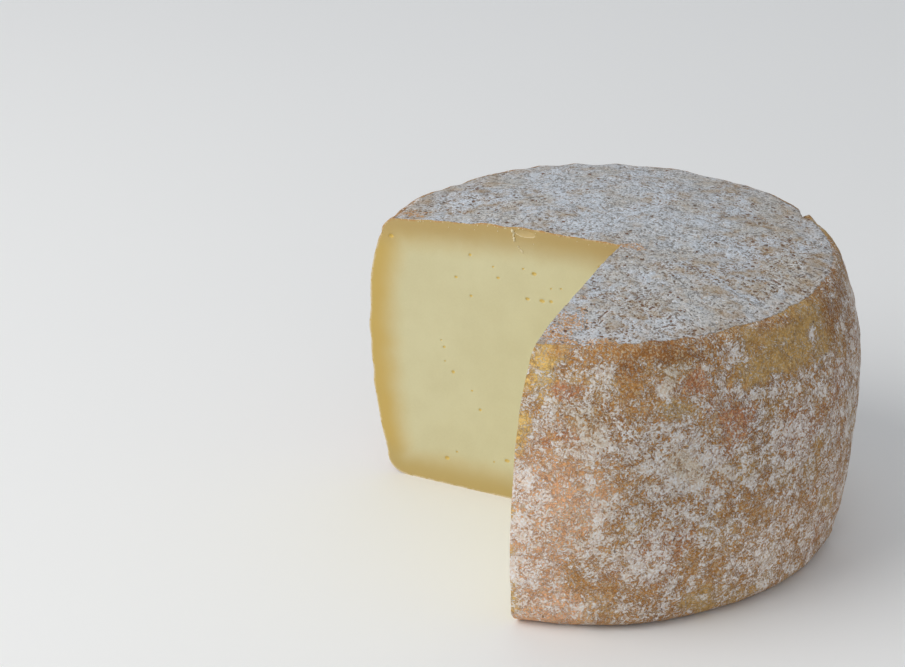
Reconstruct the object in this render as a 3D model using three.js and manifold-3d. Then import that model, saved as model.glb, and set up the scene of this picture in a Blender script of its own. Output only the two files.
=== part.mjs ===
// An aged pecorino: a small barrel-shaped wheel of hard sheep's cheese with one quarter cut out.
// Millimetres, +Z up. The wheel stands on its flat base, and the middle of its footprint is the origin.
// The missing quarter is on the -X, -Y side, so one cut face looks along -Y and the other along -X.
import * as THREE from "three";
import { mergeVertices } from "three/addons/utils/BufferGeometryUtils.js";
import Module from "manifold-3d";

// Driving dimensions of the wheel, in millimetres
const RADIUS = 100; // widest mean radius, at the belly
const RIM_HEIGHT = 113; // height where the top meets the side
const DOME = 7.3; // rise of the top from its rim to its middle
const SHOULDER = 7; // rounding between the top and the side
const FOOT = 9; // rounding between the side and the base
const BELLY_HEIGHT = 0.56 * RIM_HEIGHT; // where the side bulges most
const TOP_DRAW = 0.1115; // share of the radius that the side draws in by the rim
const FOOT_DRAW = 0.086; // share of the radius that the side draws in by the base

// How far the hand-made wheel is from round and upright
const OVAL = { share: 0.039, lobes: 2, axis: THREE.MathUtils.degToRad(60.6) };
const TRIANGULAR = { share: 0.0092, lobes: 3, axis: THREE.MathUtils.degToRad(10) };
const LEAN = new THREE.Vector2(-5.6, 7.6); // shift of the rim against the base
const SLOPE = new THREE.Vector2(0.004, 0.009); // rise of the top per millimetre
const AXIS = new THREE.Vector2(-0.67, -0.39); // the whole wheel's middle, from the origin

// The corner where the knife's two cuts meet, from the wheel's middle, and a cutter larger than the wheel
const CORNER = new THREE.Vector2(8.4, -5.9);
const OFF_SQUARE = THREE.MathUtils.degToRad(0.85); // what the quarter lacks of a right angle
const CUTTER_SIZE = 300;

// Numbers of facets
const SEGMENTS = 108; // around the wheel
const TOP_RINGS = 12;
const SHOULDER_RINGS = 4;
const SIDE_RINGS = 17;
const FOOT_RINGS = 4;
const BASE_RINGS = 2;
const HOLLOW_DETAIL = 1; // subdivisions of the round cutters

// Relief of the rind: long waves of the crust, and the smaller crags of its mould
const WAVE = { height: 0.3, length: 48, count: 7 };
const CRAG = { height: 0.16, length: 13, count: 16 };
const SEED = 781;

// Eyes in the cut face that looks along -Y: where they are from the wheel's middle, and their half sizes
const EYES = [
  { x: -27, z: 100.8, across: 1.1, high: 0.8 },
  { x: -29.4, z: 89.6, across: 1, high: 0.7 },
  { x: -23.2, z: 90, across: 1.2, high: 0.8 },
  { x: -19.4, z: 90.5, across: 0.8, high: 0.7 },
  { x: -42.2, z: 96, across: 0.8, high: 0.6 },
  { x: -54.5, z: 103.4, across: 0.7, high: 0.7 },
  { x: -60.3, z: 92.7, across: 0.8, high: 0.6 },
  { x: -53.6, z: 85.9, across: 0.7, high: 0.6 },
  { x: -89, z: 104.7, across: 1.1, high: 0.9 },
  { x: -64.7, z: 61.2, across: 0.7, high: 0.6 },
  { x: -60.5, z: 51, across: 0.8, high: 0.8 },
  { x: -48.2, z: 36.8, across: 0.7, high: 0.7 },
  { x: -62.2, z: 11.8, across: 1.1, high: 0.9 },
  { x: -35.7, z: 16.7, across: 1.2, high: 0.8 },
];
const EYE_DEPTH = 0.8;

// A thin flake that came away under the rind with the knife, and a split in the rim behind
const FLAKE = { x: -32.5, z: 114.6, across: 5.5, deep: 0.7, high: 2.2 };
const SPLIT = {
  radius: 91.5,
  angle: THREE.MathUtils.degToRad(52),
  z: 113.6,
  along: 5,
  across: 1.3,
  deep: 2.4,
};

// A seeded random number generator, so that every build gives the same wheel
function randomFrom(seed) {
  let state = seed >>> 0;
  return () => {
    state = (Math.imul(state, 1664525) + 1013904223) >>> 0;
    return state / 2 ** 32;
  };
}

// A smooth uneven field in space: plane waves in random directions, mostly between -1 and 1
function unevenField({ length, count }, random) {
  const waves = [];
  for (let i = 0; i < count; i++) {
    const up = 2 * random() - 1;
    const turn = 2 * Math.PI * random();
    const flat = Math.sqrt(1 - up * up);
    const direction = new THREE.Vector3(flat * Math.cos(turn), flat * Math.sin(turn), up);
    const wavesPerLength = (2 * Math.PI) / (length * (0.7 + 0.6 * random()));
    waves.push({ direction: direction.multiplyScalar(wavesPerLength), phase: 2 * Math.PI * random() });
  }
  const share = Math.sqrt(2 / count);
  return (p) => share * waves.reduce((sum, w) => sum + Math.sin(w.direction.dot(p) + w.phase), 0);
}

// Radius of the side at a height: it draws in by the cube above the belly and by the square below it
function sideRadius(z) {
  if (z > BELLY_HEIGHT) {
    return RADIUS * (1 - TOP_DRAW * ((z - BELLY_HEIGHT) / (RIM_HEIGHT - BELLY_HEIGHT)) ** 3);
  }
  return RADIUS * (1 - FOOT_DRAW * ((BELLY_HEIGHT - z) / BELLY_HEIGHT) ** 2);
}

// Half of the wheel's cross-section, from the middle of the base to the middle of the top
function crossSection() {
  const points = [];
  const footMiddle = sideRadius(FOOT) - FOOT;
  for (let i = 0; i < BASE_RINGS; i++) {
    points.push(new THREE.Vector2((footMiddle * i) / BASE_RINGS, 0));
  }
  for (let i = 0; i <= FOOT_RINGS; i++) {
    const angle = (Math.PI / 2) * (i / FOOT_RINGS - 1);
    points.push(new THREE.Vector2(footMiddle + FOOT * Math.cos(angle), FOOT + FOOT * Math.sin(angle)));
  }
  const sideTop = RIM_HEIGHT - SHOULDER;
  for (let i = 1; i < SIDE_RINGS; i++) {
    const z = FOOT + ((sideTop - FOOT) * i) / SIDE_RINGS;
    points.push(new THREE.Vector2(sideRadius(z), z));
  }
  const shoulderMiddle = sideRadius(sideTop) - SHOULDER;
  const rimSlope = Math.atan((2 * DOME) / shoulderMiddle);
  for (let i = 0; i <= SHOULDER_RINGS; i++) {
    const angle = (Math.PI / 2 - rimSlope) * (i / SHOULDER_RINGS);
    points.push(
      new THREE.Vector2(shoulderMiddle + SHOULDER * Math.cos(angle), sideTop + SHOULDER * Math.sin(angle)),
    );
  }
  const rim = points.at(-1).clone();
  for (let i = TOP_RINGS - 1; i >= 0; i--) {
    const share = i / TOP_RINGS;
    points.push(new THREE.Vector2(rim.x * share, rim.y + DOME * (1 - share * share)));
  }
  return points;
}

// Drops the triangles that a lathe leaves without area at its two ends
function withoutEmptyTriangles(geometry) {
  const index = geometry.index.array;
  const kept = [];
  for (let i = 0; i < index.length; i += 3) {
    const [a, b, c] = [index[i], index[i + 1], index[i + 2]];
    if (a !== b && b !== c && c !== a) {
      kept.push(a, b, c);
    }
  }
  geometry.setIndex(kept);
  return geometry;
}

// A closed geometry whose corners are shared, with positions only
function merged(geometry) {
  const copy = geometry.clone();
  copy.deleteAttribute("normal");
  copy.deleteAttribute("uv");
  return withoutEmptyTriangles(mergeVertices(copy, 1e-3));
}

// Makes the even lathe shape uneven: out of round, leaning, with a sloping top and a rough crust
function shapeByHand(geometry) {
  const random = randomFrom(SEED);
  const wave = unevenField(WAVE, random);
  const crag = unevenField(CRAG, random);
  const position = geometry.attributes.position;
  const p = new THREE.Vector3();
  for (let i = 0; i < position.count; i++) {
    p.fromBufferAttribute(position, i);
    const radius = Math.hypot(p.x, p.y);
    const angle = Math.atan2(p.y, p.x);
    const height = p.z / RIM_HEIGHT;
    const relief = WAVE.height * wave(p) + CRAG.height * crag(p);
    const offRound = [OVAL, TRIANGULAR].reduce(
      (sum, { share, lobes, axis }) => sum + share * Math.cos(lobes * (angle - axis)),
      1,
    );
    const onSide = THREE.MathUtils.smoothstep(radius, 0.8 * RADIUS, 0.93 * RADIUS);
    const grown = radius * offRound + relief * onSide;
    const x = grown * Math.cos(angle);
    const y = grown * Math.sin(angle);
    const onTop = THREE.MathUtils.smoothstep(height, 0.9, 1);
    const rise = height * (SLOPE.x * x + SLOPE.y * y) + relief * onTop;
    position.setXYZ(i, x + (height - 0.5) * LEAN.x, y + (height - 0.5) * LEAN.y, p.z + rise);
  }
  return geometry;
}

// The whole wheel before it is cut
function wholeWheel() {
  const lathe = new THREE.LatheGeometry(crossSection(), SEGMENTS);
  lathe.rotateX(Math.PI / 2);
  return shapeByHand(merged(lathe));
}

// The quarter that the knife takes out: a sheared box, because its two cuts aren't quite square
function missingQuarter() {
  const box = new THREE.BoxGeometry(CUTTER_SIZE, CUTTER_SIZE, CUTTER_SIZE);
  box.translate(-CUTTER_SIZE / 2, -CUTTER_SIZE / 2, RIM_HEIGHT / 2);
  const shear = new THREE.Matrix4().makeShear(0, 0, Math.tan(OFF_SQUARE), 0, 0, 0);
  return merged(box.applyMatrix4(shear).translate(CORNER.x, CORNER.y, 0));
}

// A round cutter of the given half sizes
function hollow(x, y, z) {
  return new THREE.IcosahedronGeometry(1, HOLLOW_DETAIL).scale(x, y, z);
}

// The cutters that leave the eyes and the flake's scar in the cut face, and the split in the rim
function smallHollows() {
  const eyes = EYES.map((eye) => hollow(eye.across, EYE_DEPTH, eye.high).translate(eye.x, CORNER.y, eye.z));
  const flake = hollow(FLAKE.across, FLAKE.deep, FLAKE.high).translate(FLAKE.x, CORNER.y, FLAKE.z);
  const split = hollow(SPLIT.along, SPLIT.across, SPLIT.deep)
    .translate(SPLIT.radius, 0, SPLIT.z)
    .rotateZ(SPLIT.angle);
  return [...eyes, flake, split].map(merged);
}

const wasm = await Module();
wasm.setup();

function toSolid(geometry) {
  return new wasm.Manifold(
    new wasm.Mesh({
      numProp: 3,
      vertProperties: new Float32Array(geometry.attributes.position.array),
      triVerts: new Uint32Array(geometry.index.array),
    }),
  );
}

function toGeometry(solid) {
  const mesh = solid.getMesh();
  const geometry = new THREE.BufferGeometry();
  geometry.setAttribute("position", new THREE.BufferAttribute(mesh.vertProperties, 3));
  geometry.setIndex(new THREE.BufferAttribute(mesh.triVerts, 1));
  geometry.computeVertexNormals();
  return geometry;
}

const rindAndPaste = new THREE.MeshStandardMaterial({ color: 0xb9a184, roughness: 0.9, metalness: 0 });
const cutters = [missingQuarter(), ...smallHollows()].map(toSolid);
const solid = cutters.reduce((rest, cutter) => rest.subtract(cutter), toSolid(wholeWheel()));
const wheel = new THREE.Mesh(toGeometry(solid), rindAndPaste);
wheel.position.set(AXIS.x, AXIS.y, 0);
wheel.name = "pecorino_wheel";

const pecorino = new THREE.Group();
pecorino.add(wheel);

export default pecorino;
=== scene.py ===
"""The looks of an aged pecorino wheel with a quarter cut out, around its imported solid.

Lengths are in millimetres and places are from the wheel's own middle, unless a comment says otherwise. The
finished points are moved by AXIS and brought to metres.
"""

import math

import bmesh
import bpy
import numpy as np
from mathutils import Matrix, Vector, noise
from mathutils.geometry import delaunay_2d_cdt


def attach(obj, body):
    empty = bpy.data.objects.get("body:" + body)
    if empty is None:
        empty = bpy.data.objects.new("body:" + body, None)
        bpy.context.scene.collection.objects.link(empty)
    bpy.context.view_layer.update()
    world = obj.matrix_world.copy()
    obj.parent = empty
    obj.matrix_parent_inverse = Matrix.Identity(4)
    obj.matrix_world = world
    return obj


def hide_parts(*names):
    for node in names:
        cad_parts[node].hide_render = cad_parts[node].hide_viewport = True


MM = 0.001
TINY = 1e-12

# The wheel's driving dimensions, as the solid has them
RADIUS = 100.0
RIM_HEIGHT = 113.0
DOME = 7.3
SHOULDER = 7.0
FOOT = 9.0
BELLY_HEIGHT = 0.56 * RIM_HEIGHT
TOP_DRAW = 0.1115
FOOT_DRAW = 0.086

# How far the hand-made wheel is from round and upright: (share of the radius, lobes, axis in degrees), the
# rim's shift against the base, the top's rise for a millimetre, and the wheel's middle, from the origin
LOBES = ((0.039, 2, 60.6), (0.0092, 3, 10.0))
LEAN = np.array([-5.6, 7.6])
SLOPE = np.array([0.004, 0.009])
AXIS = np.array([-0.67, -0.39])

# The corner where the knife's two cuts meet, the way each cut runs from it, in degrees from +X, and about
# how far the rest of the wheel goes round
CORNER = np.array([8.4, -5.9])
OFF_SQUARE = 0.85
FIRST_CUT = -90.0 - OFF_SQUARE
LAST_CUT = 180.0
REST_TURN = 1.5 * math.pi

# Long waves and crags of the crust: (height, length, number of waves)
WAVE = (0.3, 48.0, 7)
CRAG = (0.16, 13.0, 16)
CRUST_SEED = 781

# Distances between the points of the fine mesh, and depths of the rows of points under the rind in a cut
SIDE_STEP = 1.02
TOP_STEP = 0.9
BASE_STEP = 3.2
CUT_STEP = 1.5
SKIN_ROWS = (0.4, 1.0, 1.9)

# The least distances in a cut: of the rows from the knife's corner and from the rind, of the grid from both,
# and of the points in an eye from rind and rows
ROW_START = 0.6
ROW_GAP = 0.7 * SKIN_ROWS[0]
GRID_START = 0.9
GRID_GAP = SKIN_ROWS[-1] + 0.8
EYE_GAP = 0.3

# The points in an eye lie on rings: (share of its half size, least number of points). Then how many there
# are for a millimetre of a ring's half width, and how many half sizes of the eye the grid keeps away
EYE_RINGS = ((0, 1), (0.4, 6), (0.8, 9), (1, 9), (1.15, 12), (1.6, 12))
RING_POINTS = 7
EYE_CLEAR = 2.1

# The camera of the photograph: its place and clipping in metres, its angles in degrees and its lens
CAMERA_PLACE = (0.3747, -0.9827, 0.5646)
CAMERA_CLIP = (0.01, 50)
CAMERA_HEADING = 24.09
CAMERA_PITCH = 24.91
CAMERA_ROLL = 1.43
CAMERA_LENS = 117.6
SENSOR = 36.0

# The studio, in metres: (name, direction, distance, size, power in watts, colour) of the lights, the point
# that they face, the light from all round, and how far the floor reaches
LIGHTS = (
    ("window", (-0.75, -0.75, 0.9), 1.6, 1.4, 14.4, (1.0, 0.98, 0.95)),
    ("sky", (-0.2, 0.5, 1.0), 1.8, 1.6, 3.3, (0.9, 0.96, 1.0)),
    ("fill", (0.35, -1.0, 0.45), 1.8, 1.6, 2.2, (1.0, 0.99, 0.97)),
)
LIT_POINT = (0, 0, 0.06)
ROOM_COLOR = (0.93, 0.96, 1.0, 1.0)
ROOM_STRENGTH = 0.42
FLOOR_REACH = 12.0


def color(red, green, blue):
    """A shader colour from the values of 11 to 255 that a screen shows."""
    return (*(((value / 255 + 0.055) / 1.055) ** 2.4 for value in (red, green, blue)), 1.0)


# The bare crust of the side, in the colours that it has in even light, though the gold also holds a painted
# glow, and a factor of painted shade for its crevices and gaps
OCHRE = color(178, 128, 72)
BROWN = color(156, 107, 60)
# The gold is the crust's colour, made lighter by a painted glow of light through the thin rind at the cut's
# edge
GOLD_AND_GLOW = color(216, 178, 104)
RED = color(180, 122, 84)
SALMON = color(222, 168, 126)
OLIVE = color(190, 151, 90)
FLECK = color(214, 195, 160)
# Dark pores in the crust, with painted shade in them
PORE_SHADE = color(104, 74, 50)
# The bare crust inside the split, darkened by painted shade
SPLIT_SHADE_BROWN = color(112, 76, 46)
# Painted shade: the factor that darkens the bare crust in crevices and gaps by the mould
CREVICE_SHADE = (0.84, 0.7, 0.57)

# The mould on the side; the clear tone, and the light tone on the lower right, are painted light
WARM_MOULD = color(218, 214, 205)
GREY_MOULD = color(209, 207, 201)
PALE_MOULD = color(203, 194, 174)
LIGHT_MOULD = color(236, 230, 221)
RIGHT_LIT_MOULD = color(226, 222, 215)
THICK_MOULD_SHADE = (1.07, 1.07, 1.12)

# The felt of the top, its hollows and pits, and the crust where it is worn; the felt's tips and curls carry
# painted highlights, its hollows and pits painted shade
COOL_FELT = color(205, 211, 219)
BEIGE_FELT = color(192, 184, 170)
DARK_FELT = color(176, 172, 167)
FELT_TIP_HIGHLIGHT = color(226, 231, 240)
FELT_CURL_HIGHLIGHT = color(228, 228, 228)
GREY_HOLLOW_SHADE = color(148, 146, 144)
BROWN_HOLLOW_SHADE = color(138, 114, 90)
MOTTLE = color(172, 151, 121)
NET = color(140, 114, 90)
# The dark crust in holes, cracks and tears, deepened by painted shade
BROWN_PIT_SHADE = color(118, 80, 52)
GREY_PIT_SHADE = color(108, 92, 80)
WORN_DARK = color(188, 126, 68)
WORN_LIGHT = color(210, 164, 108)
RIM_FELT_SHADE = (0.99, 0.95, 0.91)

# The paste: its heart, the darker zone and the edge under the rind, the eyes, the scar with a painted
# highlight on its lower lip, and the crumbs
HEART_DARK = color(208, 200, 158)
HEART_LIGHT = color(213, 206, 165)
HEART_GRAIN = color(222, 215, 178)
ZONE = color(201, 171, 96)
TOP_ZONE = color(188, 162, 105)
FOOT_ZONE = color(192, 168, 106)
EDGE = color(222, 206, 172)
TOP_EDGE_BROWN = color(190, 142, 86)
TOP_EDGE_PALE = color(214, 190, 150)
EYE_GOLD = color(222, 188, 92)
SCAR_FACE = color(208, 184, 132)
SCAR_LIP_HIGHLIGHT = color(224, 210, 172)
CRUMB_DARK = color(214, 196, 148)
CRUMB_LIGHT = color(236, 228, 200)

FLOOR_DARK = color(246, 246, 246)
FLOOR_LIGHT = color(249, 249, 248)

# Places on the side, read off the photograph: (angle in degrees, height, half width, half height, cover, and
# where there is one the colour of the bare crust). Cover is how much more mould grows there, or less
SIDE_PLACES = (
    # The gold places at the cut's edge hold a painted glow of light through the thin rind
    (-82, 102, 8, 9, -1.2, GOLD_AND_GLOW), (-85, 83, 5, 9, -1, GOLD_AND_GLOW), (-88, 52, 4, 7, -0.9, GOLD_AND_GLOW),
    (-88, 33, 5, 4, -0.9, GOLD_AND_GLOW), (-87, 14, 5, 6, -0.6, GOLD_AND_GLOW), (-80, 108, 5, 3, -0.6, GOLD_AND_GLOW),
    (-77, 98, 8, 3, -1, RED), (-76, 82, 5, 4, -0.8, RED), (-79, 79, 5, 3, -0.6, RED),
    (-66, 109, 20, 3, -1, OCHRE), (-62, 105.5, 6, 4.5, -1, BROWN), (-51, 108, 12, 5, -1.1, BROWN),
    (-60, 95, 6, 6, -0.9, OCHRE), (-46.5, 97.5, 7, 4, -0.8, RED), (-51, 90, 8, 4, -0.8, OLIVE),
    (-72, 55, 9, 10, -0.5, SALMON), (-76, 12, 9, 7, -0.3, SALMON), (-70, 26, 8, 7, -0.6, OCHRE),
    (-56, 17, 18, 4.5, -0.8, OCHRE), (-18, 103, 24, 11, -1.35, OLIVE), (-28, 97, 12, 5, -1, OLIVE),
    (-36.5, 81, 9, 10, -0.7, RED), (-32, 45, 14, 8, -0.8, OCHRE), (-40, 22, 12, 8, -0.4, OCHRE),
    (-43, 9, 10, 6, -0.9, OLIVE), (-5, 105, 12, 9, -1, OLIVE), (8, 104, 14, 9, -0.5, BROWN),
    (-76.5, 93.5, 9, 4, 1.1), (-76.5, 109, 6.5, 1.5, 1), (-81.5, 103.2, 4.5, 1.2, 1.5),
    (-68.5, 103, 5, 5, 1), (-69, 80, 9, 6, 0.8), (-53, 97.5, 5, 3.5, 1.2), (-50, 70, 14, 9, 1.3),
    (-84, 62, 6, 8, 0.9), (-85, 43, 6, 5, 0.8), (-84, 24, 8, 9, 0.8), (-66, 52, 5, 4, 0.9),
    (-58, 31, 10, 7, 0.7), (-33.5, 107, 5, 4, 1.3), (-25, 95, 2.5, 5, 0.7), (-21, 65, 10, 9, 0.9),
    (-45, 52, 9, 7, 0.4), (-27, 20, 8, 5, 0.8), (-2, 107, 3, 4, 1), (-77, 40, 9, 9, 0.3),
)

# The hidden side has places like those that show, drawn again between these angles in degrees
BACK_ANGLES = (38.0, 178.0)
BACK_SEED = 5

# Places on the top: ((x, y, half width, half depth), how pitted, and where there is one the felt's colour)
TOP_PLACES = (
    ((38, 48, 12, 7), 0.6, DARK_FELT), ((3, 14, 8, 4), 0.5, DARK_FELT), ((-66, 5, 8, 4), 0.8, DARK_FELT),
    ((32, -24, 6, 4), 0.5, BEIGE_FELT), ((52, -40, 9, 5), -0.6), ((64, -27, 8, 6), -0.6),
    ((45, 70, 18, 9), 0.0, BEIGE_FELT), ((12, 82, 14, 5), 0.0, BEIGE_FELT),
    ((-84, 2, 8, 6), 0.4, BEIGE_FELT), ((58, -8, 16, 14), 0.8), ((60, 25, 16, 18), 0.9),
    ((30, -55, 16, 14), 0.9), ((72, 5, 10, 12), 0.9), ((20, 30, 14, 10), -0.7, COOL_FELT),
    ((-20, 50, 20, 14), -0.3, COOL_FELT), ((6, 14, 22, 14), -0.9, COOL_FELT),
    ((46, -34, 26, 20), 0.1, BEIGE_FELT), ((74, 10, 14, 20), 0.2, BEIGE_FELT),
)

# Orange places at the edge of the top, where the felt is thin: (x, y, half width, half depth)
THIN_FELT = ((13, -72, 7, 17), (13, -5, 6, 4), (-86, 0, 8, 6), (30, -80, 18, 6))

# Tears in the top's felt, read off the photograph: half the width, then the (x, y) points of a line
TEARS = (
    (0.4, (22.3, -61.3), (23.4, -56.2)),
    (0.3, (42.6, -59.3), (44.7, -56.2), (47.0, -53.5), (48.8, -52.3)),
    (0.3, (52.8, -51.0), (54.2, -48.7)), (0.28, (47.9, -40.4), (51.4, -42.9)),
    (0.45, (36.6, -47.0), (37.4, -45.0)), (0.45, (45.0, -50.4), (45.3, -48.0)),
    (0.28, (65.1, 22.4), (69.5, 22.2)), (0.3, (78.2, 19.9), (82.6, 22.0), (86.5, 19.8)),
    (0.3, (72.8, 6.1), (76.2, 12.6)), (0.3, (62.8, 44.6), (66.4, 49.6)),
    (0.28, (61.9, 15.5), (67.0, 14.8), (73.0, 17.3)), (0.35, (66.1, -1.3), (69.0, -0.2), (72.7, -2.3)),
    (0.3, (68.6, -3.0), (72.4, -3.8)), (0.35, (23.8, -64.4), (24.1, -62.2)),
)

# The split in the rim behind: a V from its outer to its inner end, how deep and half how wide it is, the
# heights between which it fades in, and the height of the lip that stands up beside it
SPLIT = np.array([[52.8, 81.0], [58.3, 68.6]])
SPLIT_DEPTH = 3.6
SPLIT_HALF = 1.4
SPLIT_FADE = (98, 106)
LIP = 1.0

# A thin flake that the knife took off under the rind: (x, height, half width, half height), and how deep
SCAR = (-31.4, 116.8, 4.5, 1.4)
SCAR_DEPTH = 0.4

# Crumbs that cling to the cut, read off the photograph: (x, height, size)
CRUMBS = (
    (-36.7, 117.2, 1.3), (-36.2, 115.8, 0.9), (-36.3, 115.0, 0.7), (-35.9, 114.1, 1.0), (-35.8, 113.3, 0.8),
    (-34.1, 111.1, 0.6), (-33.6, 110.5, 0.5), (-33.1, 110.0, 0.6), (-32.6, 109.5, 0.8), (-32.1, 109.2, 0.7),
    (-27.6, 113.4, 0.35),
)

# Further crumbs under the cut's upper edge: how many, the limits of their distance from the corner, how far
# below the edge at least and how much more at most, and the limits of their sizes
EDGE_CRUMBS = 26
CRUMB_ALONG = (4, 86)
CRUMB_BELOW = (0.6, 2.2)
CRUMB_SIZES = (0.25, 0.5)

# Eyes in the paste of the cut that shows: (x, height, half width, half height)
EYES = (
    (-27, 100.8, 1.1, 0.8), (-29.4, 89.6, 1.0, 0.7), (-23.2, 90, 1.2, 0.8), (-19.4, 90.5, 0.8, 0.7),
    (-42.2, 96, 0.8, 0.6), (-54.5, 103.4, 0.7, 0.7), (-60.3, 92.7, 0.8, 0.6), (-53.6, 85.9, 0.7, 0.6),
    (-89, 104.7, 1.1, 0.9), (-64.7, 61.2, 0.7, 0.6), (-60.5, 51, 0.8, 0.8), (-48.2, 36.8, 0.7, 0.7),
    (-62.2, 11.8, 1.1, 0.9), (-35.7, 16.7, 1.2, 0.8), (-44.5, 100.3, 0.6, 0.5), (-31.7, 102, 0.6, 0.5),
    (-19.6, 96, 0.5, 0.5), (-15.4, 96.8, 0.6, 0.4), (-66.1, 64, 0.5, 0.4), (-64.2, 55.1, 0.5, 0.4),
    (-52, 44.5, 0.6, 0.5), (-57.9, 15.6, 0.6, 0.5), (-41.4, 14.9, 0.5, 0.5), (-0.1, 109.3, 0.6, 0.5),
)
EYE_DEPTH = 0.5

# Eyes in the hidden cut: how many, and the limits of their distance from the corner, height and half width
HIDDEN_EYES = 18
HIDDEN_LIMITS = ((12, 80), (12, 104), (0.5, 1.2))

# Noises of the rind: (size, octaves, shift) of how its mould and pits spread, of the crust's roughness and
# of the mould's grain, and the sizes of those by which its colours wander
SPREAD_NOISE = (16.0, 5, (3.1, 0.4, 7.7))
ROUGH_NOISE = (5.0, 3, (9.0, 2.0, 1.0))
GRAIN_NOISE = (2.4, 3, (4.0, 7.0, 2.0))
WANDER_SIZES = {"warm": 30.0, "olive": 24.0, "ragged": 9.0, "pale": 20.0}

# Heights of the rind's fine relief: of the rough crust, of the mould that covers it, of the mould's grain on
# the side, and how much more that is on the top. What lies lower than FLAT_BASE stays flat
ROUGH_LIFT = 0.05
MOULD_LIFT = 0.1
GRAIN_LIFT = 0.15
TOP_GRAIN_MORE = 0.1
FLAT_BASE = 0.5


def smoothstep(low, high, value):
    """Goes smoothly from 0 at low to 1 at high, whichever is the larger."""
    t = np.clip((value - low) / (high - low), 0, 1)
    return t * t * (3 - 2 * t)


def random_from(seed):
    """The solid's own seeded random numbers, from 0 to 1."""
    state = seed
    while True:
        state = (state * 1664525 + 1013904223) % 2**32
        yield state / 2**32


def between(random, low, high):
    """The next random number, between two limits."""
    return low + (high - low) * next(random)


def uneven_field(length, count, random):
    """A smooth uneven field in space, made of plane waves in random directions."""
    directions, phases = [], []
    for _ in range(count):
        up = 2 * next(random) - 1
        turn = 2 * math.pi * next(random)
        flat = math.sqrt(1 - up * up)
        number = 2 * math.pi / (length * (0.7 + 0.6 * next(random)))
        directions.append((number * flat * math.cos(turn), number * flat * math.sin(turn), number * up))
        phases.append(2 * math.pi * next(random))
    directions = np.array(directions).T
    return lambda p: math.sqrt(2 / count) * np.sin(p @ directions + phases).sum(axis=-1)


def crust_relief():
    """The height of the crust's waves and crags, as a function of points of the even wheel."""
    random = random_from(CRUST_SEED)
    wave = uneven_field(WAVE[1], WAVE[2], random)
    crag = uneven_field(CRAG[1], CRAG[2], random)
    return lambda p: WAVE[0] * wave(p) + CRAG[0] * crag(p)


RELIEF = crust_relief()


def off_round(angle):
    """The hand-made wheel's radius at an angle, as a share of the even one's."""
    return 1 + sum(share * np.cos(lobes * (angle - math.radians(axis))) for share, lobes, axis in LOBES)


def side_radius(z):
    """Radius of the side at a height: it draws in by the cube above the belly and by the square below it."""
    if z > BELLY_HEIGHT:
        return RADIUS * (1 - TOP_DRAW * ((z - BELLY_HEIGHT) / (RIM_HEIGHT - BELLY_HEIGHT)) ** 3)
    return RADIUS * (1 - FOOT_DRAW * ((BELLY_HEIGHT - z) / BELLY_HEIGHT) ** 2)


def side_profile():
    """Radii and heights from the rim of the base to the rim of the top."""
    foot_middle = side_radius(FOOT) - FOOT
    foot_turn = math.pi / 2
    foot = [
        (foot_middle + FOOT * math.cos(a), FOOT + FOOT * math.sin(a))
        for a in np.linspace(-foot_turn, 0, round(FOOT * foot_turn / SIDE_STEP) + 1)
    ]
    side_top = RIM_HEIGHT - SHOULDER
    heights = np.linspace(FOOT, side_top, round((side_top - FOOT) / SIDE_STEP) + 1)
    side = [(side_radius(z), z) for z in heights[1:-1]]
    shoulder_middle = side_radius(side_top) - SHOULDER
    shoulder_turn = math.pi / 2 - math.atan(2 * DOME / shoulder_middle)
    shoulder = [
        (shoulder_middle + SHOULDER * math.cos(a), side_top + SHOULDER * math.sin(a))
        for a in np.linspace(0, shoulder_turn, round(SHOULDER * shoulder_turn / SIDE_STEP) + 2)
    ]
    return foot + side + shoulder


def place(radius, z, angle):
    """The hand-made wheel's points for points of the even one, which share their radius and height."""
    even = np.column_stack([radius * np.cos(angle), radius * np.sin(angle), np.full(len(angle), z)])
    relief = RELIEF(even)
    height = z / RIM_HEIGHT
    grown = radius * off_round(angle) + relief * smoothstep(0.8 * RADIUS, 0.93 * RADIUS, radius)
    flat = np.column_stack([grown * np.cos(angle), grown * np.sin(angle)])
    rise = height * (flat @ SLOPE) + relief * smoothstep(0.9, 1, height)
    return np.column_stack([flat + (height - 0.5) * LEAN, z + rise])


def spread(length, step):
    """Angles round the knife's corner, from one cut to the other, for an arc of a length."""
    count = max(3, round(length / step) + 1)
    return np.radians(np.linspace(FIRST_CUT, LAST_CUT, count))


def run_of(cut):
    """The way a cut runs from the knife's corner, and the way into the solid."""
    turn = math.radians(cut)
    inward = turn + math.radians(90 if cut == FIRST_CUT else -90)
    return np.array([math.cos(turn), math.sin(turn)]), np.array([math.cos(inward), math.sin(inward)])


def onto_cuts(flat):
    """Puts the two ends of an arc exactly on the cuts."""
    for end, cut in ((0, FIRST_CUT), (-1, LAST_CUT)):
        along, _ = run_of(cut)
        flat[end, :2] = CORNER + ((flat[end, :2] - CORNER) @ along) * along
    return flat


def ring(radius, z, step, rounds=12):
    """An arc of the side at one point of its profile, with its points on rays from the knife's corner."""
    rays = spread(REST_TURN * radius, step)
    angle = rays.copy()
    for _ in range(rounds):
        seen = place(radius, z, angle)[:, :2] - CORNER
        off = np.arctan2(seen[:, 1], seen[:, 0]) - rays
        angle -= (off + math.pi) % (2 * math.pi) - math.pi
    return onto_cuts(place(radius, z, angle))


def from_middle(flat, height):
    """Points of the plan from the leaning wheel's middle, and their angles, at shares of the rim height."""
    away = flat - (height - 0.5)[:, None] * LEAN
    return away, np.arctan2(away[:, 1], away[:, 0])


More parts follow.
